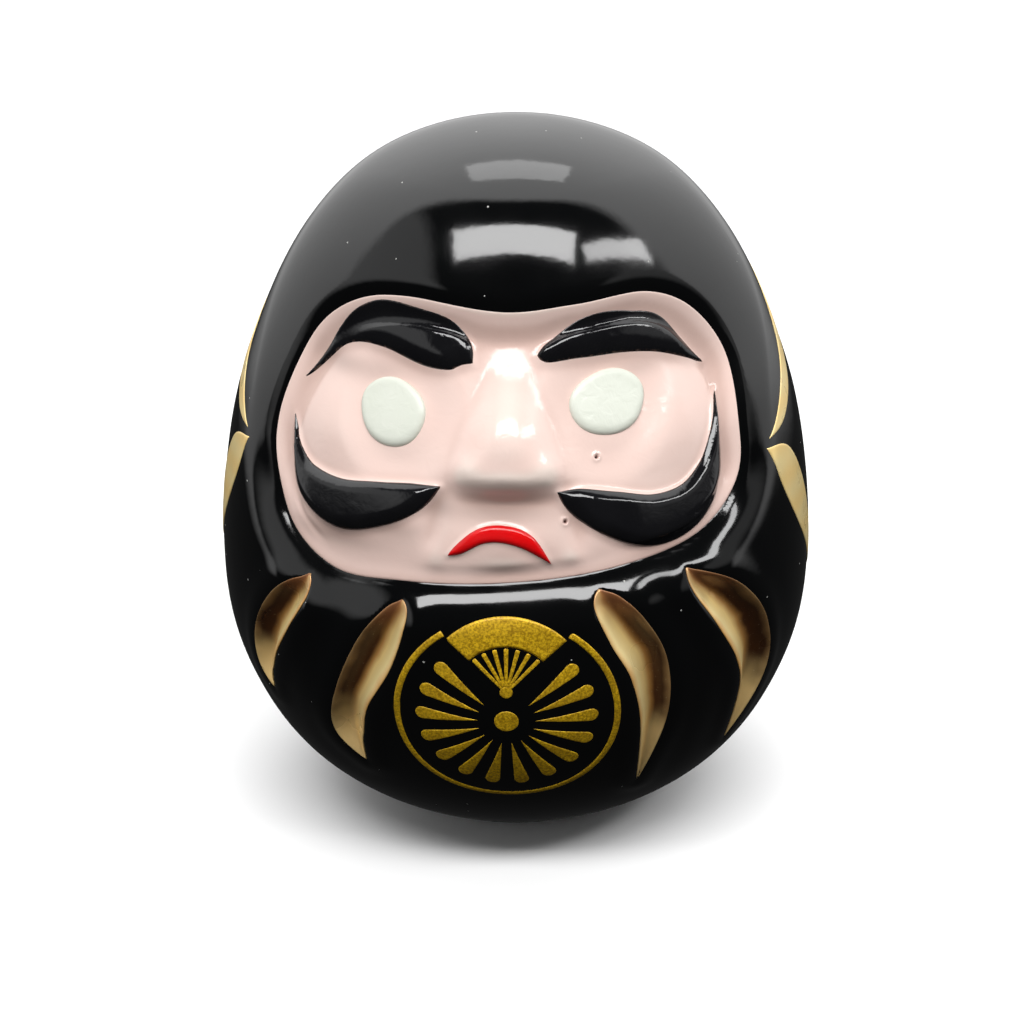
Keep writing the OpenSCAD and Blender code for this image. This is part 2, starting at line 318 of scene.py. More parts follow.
def mouth(u, v):
    """A low muzzle, the lower lip, and a furrow and a swelling on each side of them."""
    muzzle = 0.7 * bump(u, v, (0.3, 12), 6.2, 3.6)
    lower_lip = 0.25 * bump(u, v, (0.4, 9.6), 2.8, 1.2)
    furrows = 0
    for side in (-1, 1):
        reach = (v - 13.4) / 3.4
        line = side * (7.4 - 0.6 * reach) + 0.3
        furrows = furrows - 0.35 * np.exp(-((u - line) / 1.1) ** 2 - reach**2)
        furrows = furrows + 0.3 * bump(u, v, (side * 7 + 0.3, 9.9), 1.6, 1.7)
    return muzzle + lower_lip + furrows


def face_relief(u, v, d):
    """What stands up or sinks in on the face's floor."""
    on_floor = ease((d - 0.6) / 1.6)
    h = nose(u, v) + mouth(u, v)
    for centre in SOCKETS:
        r = np.hypot(u - centre[0], (v - centre[1]) * 1.02)
        h = h - 0.6 * ease((8.2 - r) / 4.5)
        h = h + 0.12 * np.exp(-((r - 9) / 3) ** 2)
    for loop in pads:
        near = inside_by(u, v, loop, 2.0)
        h = h + 0.75 * ease((near + 0.7) / 2.0)
    near = inside_by(u, v, lip_loop, 1.0)
    h = h + 0.3 * ease((near + 0.5) / 1.1)
    crease = np.exp(-((d - 2.2) / 0.35) ** 2) * ease((np.abs(u) - 19) / 3)
    return h * on_floor - 0.16 * crease


def pinholes(u, v):
    """Each pinhole in the enamel is a small pit inside a raised ring."""
    h = np.zeros(len(u))
    for centre in PINHOLES:
        r = np.hypot(u - centre[0], v - centre[1])
        h += 0.09 * np.exp(-((r - 0.38) / 0.16) ** 2) - 0.3 * np.exp(-(r / 0.17) ** 2)
    return h


def across_fold(u, v, fold):
    """0 at a fold's inner edge to 1 at its outer edge, and the fold's width there."""
    inner, outer = sorted(stroke_sides(fold), key=lambda side: np.abs(side[:, 0]).mean())
    d_in, _ = distance(u, v, inner, closed=False)
    d_out, _ = distance(u, v, outer, closed=False)
    width = d_in + d_out
    return d_in / np.maximum(width, 1e-6), width


def fold_relief(u, v):
    """Sunk folds with puffed lips on both sides."""
    h = np.zeros(len(u))
    deepest = 0.6
    for fold in FOLDS.values():
        loop = brushed(fold)
        near = inside_by(u, v, loop, 4.0)
        live = near > -4.0
        d = near[live]
        c, width = across_fold(u[live], v[live], fold)
        slope = np.where(c < deepest, c / deepest, (1 - c) / (1 - deepest))
        depth = np.minimum(1.4, 0.36 * width) * ease(np.clip(slope, 0, 1)) ** 0.8
        lip = 0.28 * np.exp(-((d + 0.9) / 1.5) ** 2)
        h[live] += np.where(d > 0, -depth, 0) + lip
    return h


def belly_relief(u, v):
    """The belly swells under the crest and between the folds on each side of it."""
    apron = 0.45 * bump(u, v, (0.6, -7), 11, 11)
    lobes = 0.35 * (bump(u, v, (-20.5, -6), 3.4, 9) + bump(u, v, (20.8, -6), 3.4, 9))
    return apron + lobes


def hand_shape(v):
    """The casting is slimmer over the brow and fuller at the crown and the belt than its plain form."""
    swells = ((-0.35, 26, 7), (0.2, 42, 5), (0.15, 4, 6), (-0.15, -12, 5))
    return sum(size * np.exp(-((v - at) / width) ** 2) for size, at, width in swells)


def front_relief(u, v):
    """The recess for the face, and the folds and swellings that fade out towards its rim."""
    d = inside_by(u, v, face_rim, 12.0)
    h = rim_profile(u, v, d)
    inner, outer = d > 0, d <= 0
    h[inner] += face_relief(u[inner], v[inner], d[inner])
    away = ease((-0.4 - d[outer]) / 4.5)
    h[outer] += (fold_relief(u[outer], v[outer]) + belly_relief(u[outer], v[outer])) * away
    return h


def relief(u, v):
    """Height of the casting above its plain form."""
    h = np.zeros(len(u))
    front = (np.abs(u) < 42) & (v > -26) & (v < 50)
    h[front] = front_relief(u[front], v[front])
    return h + hand_shape(v)


# ---- Meshes ----

def mesh_object(name, points, faces, material):
    mesh = bpy.data.meshes.new(name)
    mesh.from_pydata([tuple(p) for p in points], [], [tuple(int(i) for i in f) for f in faces])
    mesh.validate()
    mesh.shade_smooth()
    mesh.materials.append(material)
    made = bpy.data.objects.new(name, mesh)
    bpy.context.scene.collection.objects.link(made)
    return made


def add_attribute(made, name, values):
    layer = made.data.attributes.new(name, "FLOAT", "POINT")
    layer.data.foreach_set("value", np.asarray(values, np.float32))


def add_to_layer(made, **attributes):
    """Attributes of a layer of paint, the same on its top and on its underside."""
    for name, values in attributes.items():
        add_attribute(made, name, np.concatenate([values, values]))


def even_loop(loop, pitch):
    """The same closed loop with points an even distance apart."""
    ring = np.vstack([loop, loop[:1]])
    run = np.concatenate([[0], np.cumsum(np.hypot(*np.diff(ring, axis=0).T))])
    n = max(8, int(round(run[-1] / pitch)))
    at = np.arange(n) * run[-1] / n
    return np.stack([np.interp(at, run, ring[:, 0]), np.interp(at, run, ring[:, 1])], -1)


def loop_normals(loop):
    along = np.roll(loop, -1, axis=0) - np.roll(loop, 1, axis=0)
    inward = np.stack([-along[:, 1], along[:, 0]], -1)
    return inward / np.maximum(np.hypot(*inward.T), 1e-9)[:, None]


def surely_inside(points, rim, margin):
    return points[inside_by(points[:, 0], points[:, 1], rim, 1.0) > margin]


def fill(loop, pitch, edge, extra=()):
    """Triangles inside a closed loop, with rows of points close to its edge."""
    rim = even_loop(counter_clockwise(loop), pitch)
    inward = loop_normals(rim)
    low, high = rim.min(0), rim.max(0)
    gu, gv = np.meshgrid(np.arange(low[0], high[0], pitch), np.arange(low[1], high[1], pitch * 0.87))
    gu = gu + (np.arange(gu.shape[0]) % 2)[:, None] * pitch / 2
    rows = [surely_inside(rim + inward * edge * s, rim, edge * s * 0.92) for s in EDGE_ROWS]
    middle = surely_inside(np.stack([gu.ravel(), gv.ravel()], -1), rim, edge * 1.5)
    points = np.vstack([rim, *rows, middle, *extra])
    n = len(rim)
    edges = [(i, (i + 1) % n) for i in range(n)]
    coords = [Vector(p) for p in points]
    out, _, faces, _, _, _ = delaunay_2d_cdt(coords, edges, [list(range(n))], 1, 1e-5, True)
    uv = np.array([tuple(p) for p in out])
    tris = np.array([f for f in faces if len(f) == 3])
    middles = uv[tris].mean(1)
    return uv, tris[inside_by(middles[:, 0], middles[:, 1], rim, 1.0) > 0]


def slab_faces(tris, n):
    """The top's triangles, the same ones n points on for the underside, and the walls between them."""
    sides = np.vstack([tris[:, [0, 1]], tris[:, [1, 2]], tris[:, [2, 0]]])
    there = {(int(a), int(b)) for a, b in sides}
    walls = [(a, a + n, b + n, b) for a, b in there if (b, a) not in there]
    return [tuple(t) for t in tris] + [tuple(t[::-1] + n) for t in tris] + walls


def turned_faces(rows, n):
    """Faces between neighbouring rows of n points, and a fan to one more point at each end."""
    a = np.arange(n)
    b = (a + 1) % n
    faces = []
    for r in range(rows - 1):
        faces += list(np.stack([r * n + a, (r + 1) * n + a, (r + 1) * n + b, r * n + b], -1))
    last = (rows - 1) * n
    faces += list(np.stack([np.full(n, rows * n), a, b], -1))
    faces += list(np.stack([np.full(n, rows * n + 1), last + b, last + a], -1))
    return faces


def rounded(d, edge):
    x = np.clip(d / edge, 0, 1)
    return np.sqrt(np.maximum(1 - (1 - x) ** 2, 0))


def closed_patch(name, uv, tris, base, thickness, d, edge, material):
    """A closed layer of paint whose underside is rooted in what it lies on."""
    top = place(uv[:, 0], uv[:, 1], base + thickness * rounded(d, edge))
    bottom = place(uv[:, 0], uv[:, 1], base - PAINT_ROOT)
    made = mesh_object(name, np.vstack([top, bottom]), slab_faces(tris, len(uv)), material)
    add_to_layer(made, rim=d)
    return made


def painted(name, loop, base_lift, thickness, edge, pitch, material):
    """A layer of paint inside a loop, lying on the casting and on base_lift of other paint."""
    uv, tris = fill(loop, pitch, edge)
    u, v = uv.T
    within = inside_by(u, v, counter_clockwise(loop), 1.0) > 0
    d = np.where(within, distance(u, v, loop)[0], 0)
    made = closed_patch(name, uv, tris, relief(u, v) + base_lift, thickness, d, edge, material)
    return made, uv


# ---- Finishes ----

class Wire:
    """An output socket on which ordinary arithmetic adds Math nodes."""

    def __init__(self, paint, socket):
        self.paint, self.socket = paint, socket

    def _math(self, operation, other):
        return self.paint.node("ShaderNodeMath", {0: self, 1: other}, operation=operation)

    def __add__(self, other):
        return self._math("ADD", other)

    def __mul__(self, other):
        return self._math("MULTIPLY", other)

    def __gt__(self, other):
        return self._math("GREATER_THAN", other)

    def __lt__(self, other):
        return self._math("LESS_THAN", other)


class Paint:
    """One material, mixed from nodes."""

    def __init__(self, name):
        self.material = bpy.data.materials.new(name)
        self.material.use_nodes = True
        self.tree = self.material.node_tree
        self.tree.nodes.clear()
        self.place = self.node("ShaderNodeTexCoord", out="Object")

    def node(self, kind, inputs=None, out=0, ramp=None, **settings):
        made = self.tree.nodes.new(kind)
        for key, value in settings.items():
            setattr(made, key, value)
        if ramp:
            stops = made.color_ramp.elements
            while len(stops) < len(ramp):
                stops.new(0.5)
            for stop, (at, colour) in zip(stops, ramp):
                stop.position, stop.color = at, (*colour, 1)
        for key, value in (inputs or {}).items():
            socket = made.inputs[key]
            if isinstance(value, Wire):
                self.tree.links.new(value.socket, socket)
            else:
                socket.default_value = value
        return Wire(self, made.outputs[out])

    def noise(self, per_mm, detail=2.0, roughness=0.5, distortion=0.0):
        return self.node("ShaderNodeTexNoise", {
            "Vector": self.place, "Scale": per_mm / MM, "Detail": detail, "Roughness": roughness,
            "Distortion": distortion})

    def attribute(self, name):
        return self.node("ShaderNodeAttribute", out="Fac", attribute_name=name)

    def span(self, value, low, high, to_low=0.0, to_high=1.0):
        return self.node("ShaderNodeMapRange", {
            "Value": value, "From Min": low, "From Max": high, "To Min": to_low, "To Max": to_high},
            interpolation_type="SMOOTHSTEP")

    def mix(self, amount, first, second):
        """A colour between two others; sockets 6 and 7 are the node's colours and output 2 its result."""
        colours = {6: first, 7: second}
        colours = {k: c if isinstance(c, Wire) else (*c, 1) for k, c in colours.items()}
        return self.node("ShaderNodeMix", {0: amount, **colours}, out=2, data_type="RGBA")

    def bump(self, height, depth_mm, normal=None):
        inputs = {"Height": height, "Distance": depth_mm * MM, "Strength": 1.0}
        if normal:
            inputs["Normal"] = normal
        return self.node("ShaderNodeBump", inputs)

    def specks(self, cell_mm, size, share):
        """Small round specks in some of the cells of a grid."""
        cells = {"Vector": self.place, "Scale": 1 / (cell_mm * MM)}
        near = self.node("ShaderNodeTexVoronoi", cells, out="Distance")
        pick = self.node("ShaderNodeTexVoronoi", cells, out="Color")
        chosen = self.node("ShaderNodeSeparateColor", {0: pick}, out=0) > 1 - share
        return (near < size) * chosen

    def finish(self, **inputs):
        inputs = {k.replace("_", " "): v for k, v in inputs.items()}
        shader = self.node("ShaderNodeBsdfPrincipled", inputs)
        output = self.tree.nodes.new("ShaderNodeOutputMaterial")
        self.tree.links.new(shader.socket, output.inputs["Surface"])
        return self.material


def black_glaze():
    p = Paint("black_glaze")
    cloud = p.noise(0.09, 3)
    peel = p.noise(0.55, 2)
    dust = p.specks(1.7, 0.055, 0.22)
    colour = p.mix(cloud, (0.0010, 0.0012, 0.0014), (0.0026, 0.0028, 0.0030))
    colour = p.mix(dust, colour, (0.42, 0.42, 0.40))
    rough = p.span(cloud, 0.3, 0.7, 0.06, 0.11) + dust * 0.5
    normal = p.bump(peel, 0.012, normal=p.bump(dust, 0.03))
    return p.finish(Base_Color=colour, Roughness=rough, Normal=normal, IOR=1.55)


def biscuit():
    p = Paint("biscuit")
    cloud = p.noise(0.3, 4)
    grain = p.noise(6.0, 3)
    colour = p.mix(cloud, (0.55, 0.5, 0.43), (0.68, 0.64, 0.57))
    colour = p.mix(p.specks(0.8, 0.1, 0.12), colour, (0.32, 0.26, 0.2))
    normal = p.bump(grain, 0.03)
    return p.finish(Base_Color=colour, Roughness=p.span(grain, 0.3, 0.7, 0.75, 0.95), Normal=normal)


def pink_enamel():
    p = Paint("pink_enamel")
    cloud = p.noise(0.12, 3)
    streak = p.noise(0.5, 2, distortion=1.5)
    hollow = p.attribute("hollow")
    colour = p.mix(cloud, (0.79, 0.575, 0.51), (0.83, 0.65, 0.585))
    # Painted shade darkens the enamel in hollows, and a painted highlight lightens it on what stands up
    colour = p.mix(p.span(hollow, 0.0, 1.0), colour, (0.66, 0.47, 0.41))
    colour = p.mix(p.span(hollow, 0.0, -1.0), colour, (0.81, 0.68, 0.61))
    # Painted shade under the nose, the brows, the moustaches and the lip
    colour = p.mix(p.attribute("pool"), colour, (0.24, 0.165, 0.14))
    pit = p.attribute("pit")
    colour = p.mix(pit, colour, (0.16, 0.06, 0.05))
    rough = p.span(cloud, 0.3, 0.7, 0.12, 0.2) + pit * 0.4
    normal = p.bump(streak, 0.02, normal=p.bump(p.noise(1.6, 2), 0.006))
    return p.finish(Base_Color=colour, Roughness=rough, Normal=normal, IOR=1.5)


def white_enamel():
    p = Paint("white_enamel")
    cloud = p.noise(0.25, 3)
    ripple = p.noise(0.8, 3, distortion=0.8)
    colour = p.mix(cloud, (0.62, 0.65, 0.56), (0.70, 0.72, 0.64))
    normal = p.bump(ripple, 0.05)
    return p.finish(Base_Color=colour, Roughness=p.span(ripple, 0.3, 0.7, 0.3, 0.42), Normal=normal, IOR=1.5)


def black_enamel():
    p = Paint("black_enamel")
    brush = p.noise(0.7, 3, distortion=0.6)
    thin = p.span(p.attribute("rim"), 0.14, 0.0)
    colour = p.mix(p.noise(0.3, 2), (0.003, 0.003, 0.004), (0.008, 0.008, 0.009))
    colour = p.mix(thin * p.span(p.noise(2.2, 2), 0.45, 0.7), colour, (0.10, 0.065, 0.05))
    rough = p.span(brush, 0.3, 0.7, 0.06, 0.12)
    return p.finish(Base_Color=colour, Roughness=rough, Normal=p.bump(brush, 0.035), IOR=1.55)


def red_enamel():
    p = Paint("red_enamel")
    brush = p.noise(1.1, 3, distortion=0.8)
    thin = p.span(p.attribute("rim"), 0.35, 0.05)
    colour = p.mix(p.noise(0.4, 2), (0.62, 0.002, 0.004), (0.78, 0.004, 0.005))
    colour = p.mix(thin * 0.45, colour, (0.42, 0.004, 0.008))
    rough = p.span(brush, 0.3, 0.7, 0.14, 0.24)
    return p.finish(Base_Color=colour, Roughness=rough, Normal=p.bump(brush, 0.03), IOR=1.5)


def gold_lustre():
    p = Paint("gold_lustre")
    across, along = p.attribute("across"), p.attribute("along")
    brush = p.noise(0.22, 2)
    thick = p.span(brush, 0.0, 1.0, -0.1, 0.1)
    # The colour across a fold is painted light: a painted reflection in light gold on the inner slope, and
    # painted shade in dark brown in the deep line and on the outer wall
    tone = p.node("ShaderNodeValToRGB", {0: across + thick}, ramp=[
        (0.0, (0.80, 0.44, 0.14)), (0.16, (1.0, 0.80, 0.38)), (0.40, (1.0, 0.72, 0.28)),
        (0.56, (0.50, 0.25, 0.07)), (0.70, (0.07, 0.025, 0.008)), (0.86, (0.05, 0.02, 0.008)),
        (1.0, (0.34, 0.20, 0.08))])
    low_end = p.span(along + thick, 0.55, 0.8)
    colour = p.mix(low_end * 0.75, tone, (1.0, 0.72, 0.31))
    top = p.span(along + thick * 0.5, 0.2, 0.04)
    colour = p.mix(top * 0.7, colour, (0.30, 0.12, 0.045))
    fine = p.span(p.noise(5.0, 2), 0.66, 0.78)
    colour = p.mix(fine * 0.2, colour, (1.0, 0.86, 0.56))
    rough = p.span(brush, 0.0, 1.0, 0.2, 0.44)
    normal = p.bump(p.noise(0.9, 2), 0.006, normal=p.bump(p.noise(4.0, 2), 0.003))
    return p.finish(Base_Color=colour, Roughness=rough, Normal=normal, Metallic=0.3)


def gold_transfer():
    p = Paint("gold_transfer")
    grain = p.noise(4.5, 3, roughness=0.7)
    cloud = p.noise(0.35, 3)
    colour = p.mix(p.span(grain, 0.35, 0.65), (0.40, 0.22, 0.004), (0.95, 0.60, 0.015))
    colour = p.mix(p.span(cloud, 0.35, 0.65) * 0.35, colour, (0.34, 0.19, 0.012))
    rough = p.span(grain, 0.3, 0.7, 0.34, 0.5)
    return p.finish(Base_Color=colour, Roughness=rough, Normal=p.bump(grain, 0.012), Metallic=0.25)


def soft_stopper():
    p = Paint("soft_stopper")
    cloud = p.noise(0.25, 3)
    grain = p.noise(3.0, 3)
    colour = p.mix(cloud, (0.66, 0.63, 0.57), (0.76, 0.74, 0.69))
    rough = p.span(grain, 0.3, 0.7, 0.45, 0.6)
    return p.finish(Base_Color=colour, Roughness=rough, Normal=p.bump(grain, 0.02))


glaze, clay = black_glaze(), biscuit()
pink, white, black, red = pink_enamel(), white_enamel(), black_enamel(), red_enamel()
lustre, transfer, rubber = gold_lustre(), gold_transfer(), soft_stopper()


# ---- The casting ----

def body_rows():
    """Chart heights of the rows of the outside, close together on the front's ornament."""
    fine = 0.36
    crown = np.linspace(56.5, 45, 14)
    front = np.arange(44.6, -20, -fine)
    bowl = np.linspace(-20.6, chart_v(np.array(foot_elevation(0.9))), 14)
    return np.concatenate([crown, front, bowl])


def foot_elevation(z):
    """Elevation at which the plain form's underside reaches height z."""
    e = np.linspace(-1.4, 0, 4000)
    return float(e[np.argmin(np.abs(BELT_Z + form_radius(e) * np.sin(e) - z))])


def body_columns():
    """Azimuths of the columns, close together on the front and wider apart at the back."""
    side, fine = 84, 0.68
    front = np.radians(np.arange(-side, side, fine))
    back = np.radians(np.linspace(side, 360 - side, 70)[:-1])
    return np.concatenate([front, back])


def under_paint(u, v):
    """The glaze stays a little lower under paint, so that it never shows through."""
    sunk = np.zeros(len(u))
    for loop in [face_rim] + [brushed(e) for e in FOLDS.values()]:
        sunk += UNDER_PAINT * ease(inside_by(u, v, loop, 1.0) / 0.5)
    return sunk


def ring_points(radius, z, columns):
    level = np.full(len(columns), z)
    return np.stack([radius * np.sin(columns), -radius * np.cos(columns), level], -1) * MM


def outside_rows(turn):
    """Rows of points on the glazed outside, from the crown down to the foot."""
    heights = body_rows()
    u = np.concatenate([parallel(v) * turn for v in heights])
    v = np.repeat(heights, len(turn))
    return list(place(u, v, relief(u, v) - under_paint(u, v)).reshape(len(heights), len(turn), 3))


def inside_rows(turn):
    """Rows of points on the cavity's wall, from just over its floor up to the crown."""
    low = chart_v(np.array(foot_elevation(7.5)))
    rows = []
    for height in np.concatenate([np.linspace(low, 50, 30), [54, 56]]):
        u, v = parallel(height) * turn, np.full(len(turn), height)
        rows.append(place(u, v, np.minimum(relief(u, v), 0) - WALL))
    return rows


def casting():
    """The hollow shell, in rows from the crown down outside, in at the drain hole and up inside."""
    columns = body_columns()
    turn = (columns + math.pi) % (2 * math.pi) - math.pi
    outside = outside_rows(turn)
    start = np.hypot(outside[-1][0][0], outside[-1][0][1]) / MM
    foot = [ring_points(radius, z, columns) for radius, z in foot_section(start)]
    rows = outside + foot + inside_rows(turn)
    pole = np.array([chart_v(np.array(math.pi / 2))])
    ends = [place(np.zeros(1), pole, np.array([lift])) for lift in (0.0, -WALL)]
    made = mesh_object("casting", np.vstack(rows + ends), turned_faces(len(rows), len(turn)), glaze)
    made.data.materials.append(clay)
    row = np.arange(len(made.data.polygons)) // len(turn)
    unglazed = (row >= len(outside) + 2) & (row < len(rows) - 1)
    made.data.polygons.foreach_set("material_index", unglazed.astype(np.int32))
    return made


def foot_section(start):
    """Radius and height of the foot ring, its recess, the drain hole and the cavity's floor."""
    foot_r = 11.9
    return [
        (start - 0.35, 0.55), (foot_r + 0.15, 0.22), (foot_r - 0.2, 0.05), (foot_r - 0.6, 0.0),
        (FOOT_RECESS_R + 0.5, 0.0), (FOOT_RECESS_R + 0.15, 0.08), (FOOT_RECESS_R, 0.3),
        (FOOT_RECESS_R, FOOT_RECESS - 0.25), (FOOT_RECESS_R - 0.25, FOOT_RECESS),
        (DRAIN_R + 0.35, FOOT_RECESS), (DRAIN_R + 0.1, FOOT_RECESS + 0.1), (DRAIN_R, FOOT_RECESS + 0.35),
        (DRAIN_R, CAVITY_FLOOR - 0.4), (DRAIN_R + 0.4, CAVITY_FLOOR), (DRAIN_R + 3, CAVITY_FLOOR + 0.1),
    ]


# ---- Paint on the face ----

def hollow_of(u, v):
    """How sunk a point is against its neighbourhood: over 0 in hollows, under 0 on what stands up; the pink
    enamel takes painted shade and painted highlight from it.
    """
    step = 1.3
    here = relief(u, v)
    ring = [relief(u + step * math.cos(a), v + step * math.sin(a)) for a in np.arange(6) * math.pi / 3]
    return np.clip((np.mean(ring, 0) - here) / 0.35, -1, 1)


def pinhole_points():
    """Rings of points round each pinhole, as (radius, count), so that the mesh can carry it."""
    rings = ((0, 1), (0.08, 8), (0.16, 12), (0.24, 14), (0.32, 16), (0.42, 18), (0.55, 20))
    points = []
    for centre in PINHOLES:
        for radius, count in rings:
            a = np.arange(count) * 2 * math.pi / count
            points.append(np.stack([centre[0] + radius * np.cos(a), centre[1] + radius * np.sin(a)], -1))
    return points


def face_layer():
    uv, tris = fill(face_rim, 0.3, 0.3, pinhole_points())
    u, v = uv.T
    d, _ = distance(u, v, face_rim)
    base = relief(u, v) + pinholes(u, v)
    made = closed_patch("face_enamel_layer", uv, tris, base, PINK_T, d, 0.3, pink)
    pit = sum(np.exp(-(np.hypot(u - c[0], v - c[1]) / 0.2) ** 4) for c in PINHOLES)
    # How strong the painted shade is under the nose, the brows, the moustaches and the lip
    pool = np.clip(sum(dark * bump(u, v, at, along, across) for at, along, across, dark in PAINTED_SHADE_SPOTS), 0, 0.8)
    add_to_layer(made, hollow=hollow_of(u, v), pit=pit, pool=pool)
    return made


def eye(name, centre, radii):
    turn = np.arange(48) * 2 * math.pi / 48
    wobble = 1 + 0.012 * np.sin(3 * turn + centre[0]) + 0.01 * np.sin(5 * turn)
    loop = np.stack([centre[0] + radii[0] * wobble * np.cos(turn),
                     centre[1] + radii[1] * wobble * np.sin(turn)], -1)
    made, _ = painted(name, loop, PINK_T, EYE_T, 0.75, 0.25, white)
    return made


def fold_gold(name, fold):
    made, uv = painted(name, brushed(fold), 0, GOLD_T, 0.15, 0.25, lustre)
    c, _ = across_fold(uv[:, 0], uv[:, 1], fold)
    high, low = uv[:, 1].max(), uv[:, 1].min()
    # across places the painted reflection and the painted shade of the gold across the fold
    add_to_layer(made, across=c, along=(high - uv[:, 1]) / (high - low))
    return made


def side_stroke(name, stroke, side):
    """A stroke on the side that the sign of side names; those on the -u side sit a little further back."""
    set_back = 0.8 if side < 0 else 0
    made, uv = painted(name, (brushed(stroke) + (set_back, 0)) * (side, 1), 0, GOLD_T, 0.2, 0.3, lustre)
    across = 0.18 + 0.2 * np.sin(uv[:, 1] * 0.9) ** 2
    add_to_layer(made, across=across, along=np.full(len(uv), 0.6))
    return made


# ---- The crest ----

def crest_loop(points):
    return np.asarray(points) + CREST


def strip(name, inner, outer, steps, material):
    """A closed layer between two lines of the same number of chart points."""
    t = np.linspace(0, 1, steps)[:, None, None]
    uv = (inner * (1 - t) + outer * t).transpose(1, 0, 2)
    rows, columns = uv.shape[:2]
    flat = uv.reshape(-1, 2)
    index = np.arange(rows * columns).reshape(rows, columns)
    a, b = index[:-1, :-1].ravel(), index[1:, :-1].ravel()
    c, e = index[1:, 1:].ravel(), index[:-1, 1:].ravel()
    tris = np.vstack([np.stack([a, b, c], -1), np.stack([a, c, e], -1)])
    loop = np.vstack([inner, outer[::-1]])
    if area(loop) < 0:
        tris = tris[:, ::-1]
    d, _ = distance(flat[:, 0], flat[:, 1], loop)
    base = relief(flat[:, 0], flat[:, 1])
    return closed_patch(name, flat, tris, base, TRANSFER_T, d, 0.12, material)


def arc(radius, start, stop, count):
    a = np.radians(np.linspace(start, stop, count))
    return np.stack([radius * np.cos(a), radius * np.sin(a)], -1)


def crest_ring():
    start, stop, count = 90 + RING_GAP_HALF, 450 - RING_GAP_HALF, 150
    return strip("crest_ring_line", crest_loop(arc(CREST_R, start, stop, count)),
                 crest_loop(arc(CREST_R - CREST_LINE, start, stop, count)), 6, transfer)


def crest_dot():
    turn = np.arange(40) * 2 * math.pi / 40
    loop = crest_loop(1.15 * np.stack([np.cos(turn), np.sin(turn)], -1))
    made, _ = painted("crest_dot", loop, 0, TRANSFER_T, 0.12, 0.2, transfer)
    return made


def joined(name, parts):
    with bpy.context.temp_override(active_object=parts[0], selected_editable_objects=parts):
        bpy.ops.object.join()
    parts[0].name = name
    return parts[0]


class Tree:
    """A geometry node tree with named inputs."""

    def __init__(self, name, inputs):
        self.tree = bpy.data.node_groups.new(name, "GeometryNodeTree")
        make = self.tree.interface.new_socket
        self.ids = {}
        for key, kind in inputs.items():
            self.ids[key] = make(key, in_out="INPUT", socket_type=kind).identifier
        make("Geometry", in_out="OUTPUT", socket_type="NodeSocketGeometry")
        self.given = self.tree.nodes.new("NodeGroupInput").outputs

    def node(self, kind, inputs, out=0, **settings):
        made = self.tree.nodes.new(kind)
        for key, value in settings.items():
            setattr(made, key, value)
        for key, value in inputs.items():
            if isinstance(value, bpy.types.NodeSocket):
                self.tree.links.new(value, made.inputs[key])
            else:
                made.inputs[key].default_value = value
        return made.outputs[out]


def ring_of_copies(t):
    """Copies of the blank turned round the origin, but for those in the gap at the top."""
    given = t.given
    points = t.node("GeometryNodePoints", {"Count": given["Count"]})
    steps = t.node("ShaderNodeMath", {0: t.node("GeometryNodeInputIndex", {}), 1: given["Step"]},
                   operation="MULTIPLY")
    angle = t.node("ShaderNodeMath", {0: steps, 1: given["First Angle"]}, operation="ADD")
    rise = t.node("ShaderNodeMath", {0: angle}, operation="SINE")
    limit = t.node("ShaderNodeMath", {0: given["Open Above"]}, operation="COSINE")
    points = t.node("GeometryNodeStoreNamedAttribute", {"Geometry": points, "Name": "turn", "Value": angle},
                    data_type="FLOAT", domain="POINT")
    too_high = t.node("FunctionNodeCompare", {0: rise, 1: limit}, operation="GREATER_THAN")
    points = t.node("GeometryNodeDeleteGeometry", {"Geometry": points, "Selection": too_high})
    turn = t.node("GeometryNodeInputNamedAttribute", {"Name": "turn"}, data_type="FLOAT")
    spin = t.node("FunctionNodeEulerToRotation", {0: t.node("ShaderNodeCombineXYZ", {"Z": turn})})
    copies = t.node("GeometryNodeInstanceOnPoints", {
        "Points": points, "Instance": given["Blank"], "Rotation": spin})
    return t.node("GeometryNodeRealizeInstances", {"Geometry": copies})


def laid_on_body(t, real):
    """The copies brought over their place and dropped onto the body, each point to its own height."""
    given = t.given
    facing = t.node("FunctionNodeEulerToRotation", {0: given["Facing"]})
    real = t.node("GeometryNodeTransform", {
        "Geometry": real, "Translation": given["Centre"], "Rotation": facing})
    body = t.node("GeometryNodeObjectInfo", {"Object": given["Body"]}, out="Geometry")
    inward = t.node("ShaderNodeVectorMath", {0: given["Outward"], "Scale": -1.0}, operation="SCALE")
    hit = t.node("GeometryNodeRaycast", {
        "Target Geometry": body, "Ray Direction": inward, "Ray Length": 0.03}, out="Hit Position")
    height = t.node("GeometryNodeInputNamedAttribute", {"Name": "height"}, data_type="FLOAT")
    raised = t.node("ShaderNodeVectorMath", {0: given["Outward"], "Scale": height}, operation="SCALE")
    there = t.node("ShaderNodeVectorMath", {0: hit, 1: raised}, operation="ADD")
    real = t.node("GeometryNodeSetPosition", {"Geometry": real, "Position": there})
    return t.node("GeometryNodeSetShadeSmooth", {"Geometry": real})


def wrapped_round():
    """Copies of a flat blank, turned round a centre and wrapped onto the casting."""
    t = Tree("wrapped_round", {
        "Blank": "NodeSocketGeometry", "Count": "NodeSocketInt", "First Angle": "NodeSocketFloat",
        "Step": "NodeSocketFloat", "Open Above": "NodeSocketFloat", "Centre": "NodeSocketVector",
        "Facing": "NodeSocketVector", "Outward": "NodeSocketVector", "Body": "NodeSocketObject",
        "Material": "NodeSocketMaterial"})
    real = laid_on_body(t, ring_of_copies(t))
    real = t.node("GeometryNodeSetMaterial", {"Geometry": real, "Material": t.given["Material"]})
    end = t.tree.nodes.new("NodeGroupOutput")
    t.tree.links.new(real, end.inputs[0])
    return t


